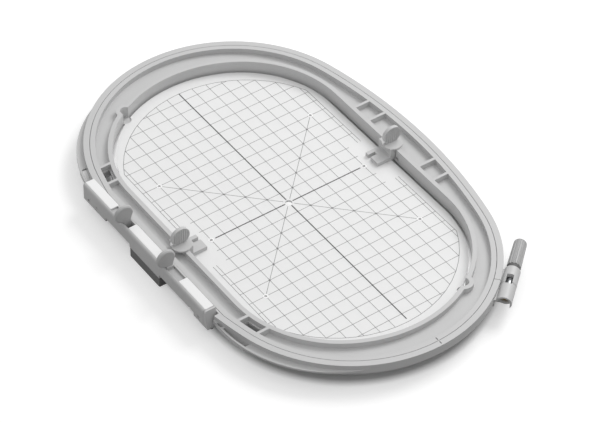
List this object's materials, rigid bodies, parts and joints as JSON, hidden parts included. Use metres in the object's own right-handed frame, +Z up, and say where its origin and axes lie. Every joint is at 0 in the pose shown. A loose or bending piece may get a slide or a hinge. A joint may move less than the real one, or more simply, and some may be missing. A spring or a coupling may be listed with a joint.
{
  "type": "embroidery machine hoop",
  "caption": "Oval machine embroidery hoop with a screw-clamped outer ring, an inner ring, a gridded template sheet and a connector with two squeeze release grips.",
  "frame": {"origin": "centre of the sewing field on the fabric plane, the underside of both rings", "axes": "+Z up out of the rings, +Y along the hoop, -X towards the machine's carriage"},
  "size_m": [0.2144, 0.3216, 0.0346],
  "materials": {
    "hoop_plastic": "fine grain",
    "grip_plastic": "fine grain",
    "template_sheet": "translucent, polished",
    "strip_plastic": "smooth",
    "block_plastic": "fine grain",
    "steel": "zinc plated",
    "spring_steel": "drawn wire",
    "brass": "turned"
  },
  "bodies": {
    "hoop": {"outer_hoop": "hoop_plastic", "connector_housing": "hoop_plastic", "cover_strip_rear": "strip_plastic", "cover_strip_middle": "strip_plastic", "cover_strip_front": "strip_plastic", "end_cap": "hoop_plastic", "spring_rod": "steel", "coupling_block": "block_plastic", "housing_screws": "steel", "coupling_screws": "steel", "clamp_nut": "brass", "grip_spring_rear": "spring_steel", "grip_spring_front": "spring_steel"},
    "inner_ring": {"inner_hoop": "hoop_plastic"},
    "template_sheet": {"template": "template_sheet", "template_grip_left": "hoop_plastic", "template_grip_right": "hoop_plastic"},
    "rear_release": {"release_grip_rear": "grip_plastic", "latch_rear": "block_plastic"},
    "front_release": {"release_grip_front": "grip_plastic", "latch_front": "block_plastic"},
    "clamp_feed": {"clamp_collar": "block_plastic"},
    "clamp_turn": {"clamp_knob": "grip_plastic", "clamp_screw": "steel"}
  },
  "joints": [
    {"name": "inner_hoop_lift", "type": "slide", "parent": "hoop", "child": "inner_ring", "axis": [0, 0, 1], "range_m": [0, 0.03]},
    {"name": "template_lift", "type": "slide", "parent": "inner_ring", "child": "template_sheet", "axis": [0, 0, 1], "range_m": [0, 0.025]},
    {"name": "rear_grip_squeeze", "type": "slide", "parent": "hoop", "child": "rear_release", "axis": [0, -1, 0], "range_m": [0, 0.0042], "stiffness_N_per_m": 300, "springref_m": -0.008, "deforming": ["grip_spring_rear"]},
    {"name": "front_grip_squeeze", "type": "slide", "parent": "hoop", "child": "front_release", "axis": [0, 1, 0], "range_m": [0, 0.0042], "stiffness_N_per_m": 300, "springref_m": -0.008, "deforming": ["grip_spring_front"]},
    {"name": "screw_feed", "type": "slide", "parent": "hoop", "child": "clamp_feed", "axis": [0.766, 0.6428, 0], "range_m": [0, 0.0035]},
    {"name": "knob_turn", "type": "hinge", "parent": "clamp_feed", "child": "clamp_turn", "pos_m": [0.06614, -0.14183, 0.0054], "axis": [0.766, 0.6428, 0], "range_deg": [0, 1800]}
  ],
  "couplings": [
    {"joint": "knob_turn", "follows": "screw_feed", "rad_per_m": 8975.9}
  ]
}
